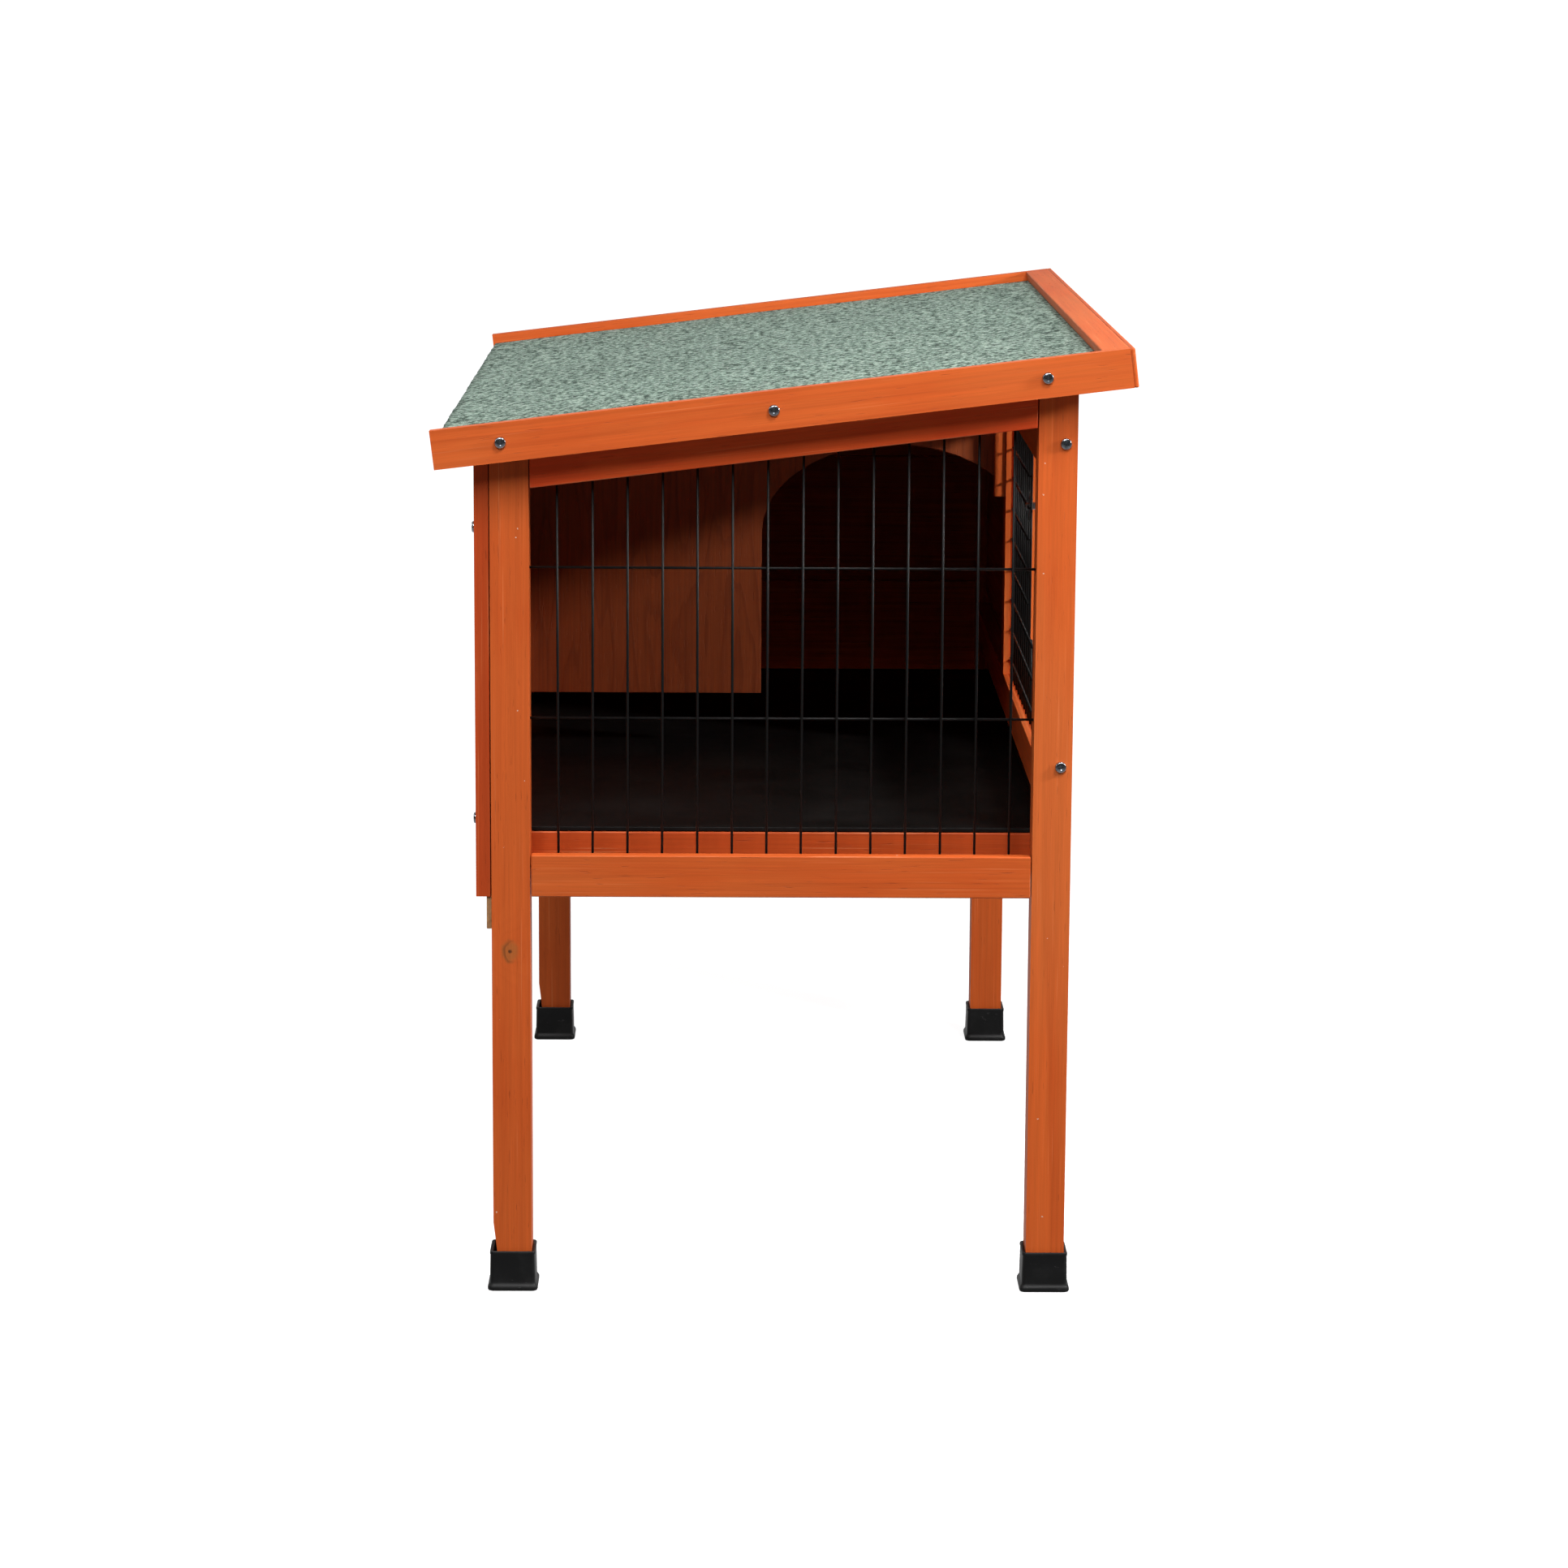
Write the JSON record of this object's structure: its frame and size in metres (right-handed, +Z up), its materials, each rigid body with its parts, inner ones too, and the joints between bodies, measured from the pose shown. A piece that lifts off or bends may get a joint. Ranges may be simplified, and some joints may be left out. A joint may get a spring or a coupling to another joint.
{
  "type": "rabbit hutch",
  "caption": "Raised stained-wood rabbit hutch with a wire end and front, a felted lean-to roof that lifts on rear hinges, a wire hatch, a nest door and a pull-out tray.",
  "frame": {"origin": "on the ground, at the middle of the hutch's outline", "axes": "+X along the hutch from the wire end to the nest end, -Y to the front (the high side of the roof), +Z up"},
  "size_m": [0.9194, 0.5382, 0.7474],
  "materials": {
    "wood": "orange-brown stained fir, satin",
    "dark_wood": "darker stained plywood, satin",
    "plywood": "bare plywood, matt",
    "felt": "green mineral roofing felt, gritty and matt",
    "black_plastic": "black moulded plastic, satin",
    "black_wire": "black coated steel wire",
    "zinc_steel": "zinc plated steel"
  },
  "bodies": {
    "hutch": {"post_front_left": "wood", "post_front_right": "wood", "post_back_left": "wood", "post_back_right": "wood", "foot_cap_front_left": "black_plastic", "foot_cap_front_right": "black_plastic", "foot_cap_back_left": "black_plastic", "foot_cap_back_right": "black_plastic", "left_bottom_rail": "wood", "left_top_rail": "wood", "left_tray_runner": "wood", "left_wire_panel": "black_wire", "right_bottom_rail": "wood", "right_top_rail": "wood", "right_tray_runner": "wood", "right_wall_board_lower": "wood", "right_wall_board_middle": "wood", "right_wall_board_upper": "wood", "front_top_rail": "wood", "front_bottom_rail": "wood", "middle_stile": "wood", "front_wire_panel": "black_wire", "wire_door_clips": "zinc_steel", "wire_latch_base": "zinc_steel", "nest_hinge_post_leaves": "zinc_steel", "bolt_keeper": "zinc_steel", "rear_ledger": "wood", "rear_top_rail": "wood", "back_board_1": "wood", "back_board_2": "wood", "back_board_3": "wood", "back_board_4": "wood", "back_board_5": "wood", "back_board_6": "wood", "back_board_7": "wood", "rear_plywood_strip": "plywood", "partition": "dark_wood", "partition_batten": "wood", "roof_hinge_frame_leaves": "zinc_steel", "hinge_pins": "zinc_steel", "frame_screws": "zinc_steel"},
    "roof": {"roof_board": "plywood", "roof_felt": "felt", "left_rake": "wood", "right_rake": "wood", "roof_front_batten": "wood", "roof_front_strip": "wood", "roof_hinge_roof_leaves": "zinc_steel", "roof_screws": "zinc_steel"},
    "nest_door": {"nest_door_left_stile": "wood", "nest_door_right_stile": "wood", "nest_door_top_rail": "wood", "nest_door_bottom_rail": "wood", "nest_door_panel": "wood", "nest_hinge_door_leaves": "zinc_steel", "bolt_plate": "zinc_steel", "door_screws": "zinc_steel"},
    "bolt": {"bolt_rod": "zinc_steel"},
    "wire_door": {"wire_door": "black_wire"},
    "latch": {"wire_latch_blade": "zinc_steel"},
    "tray": {"tray_floor": "black_plastic", "tray_front": "wood", "tray_battens": "wood", "tray_knob": "dark_wood"}
  },
  "joints": [
    {"name": "roof_hinge", "type": "hinge", "parent": "hutch", "child": "roof", "pos_m": [0, 0.2404, 0.66224], "axis": [-1, 0, 0], "range_deg": [0, 85]},
    {"name": "wire_door_hinge", "type": "hinge", "parent": "hutch", "child": "wire_door", "pos_m": [-0.398, -0.208, 0.5725], "axis": [0, 0, -1], "range_deg": [0, 100]},
    {"name": "wire_door_latch", "type": "hinge", "parent": "hutch", "child": "latch", "pos_m": [-0.23, -0.2116, 0.6], "axis": [0, 1, 0], "range_deg": [0, 90]},
    {"name": "nest_door_hinge", "type": "hinge", "parent": "hutch", "child": "nest_door", "pos_m": [0.404, -0.2284, 0.544], "axis": [0, 0, 1], "range_deg": [0, 165]},
    {"name": "nest_door_bolt", "type": "slide", "parent": "nest_door", "child": "bolt", "axis": [-1, 0, 0], "range_m": [0, 0.016]},
    {"name": "tray_slide", "type": "slide", "parent": "hutch", "child": "tray", "axis": [0, -1, 0], "range_m": [0, 0.4]}
  ]
}
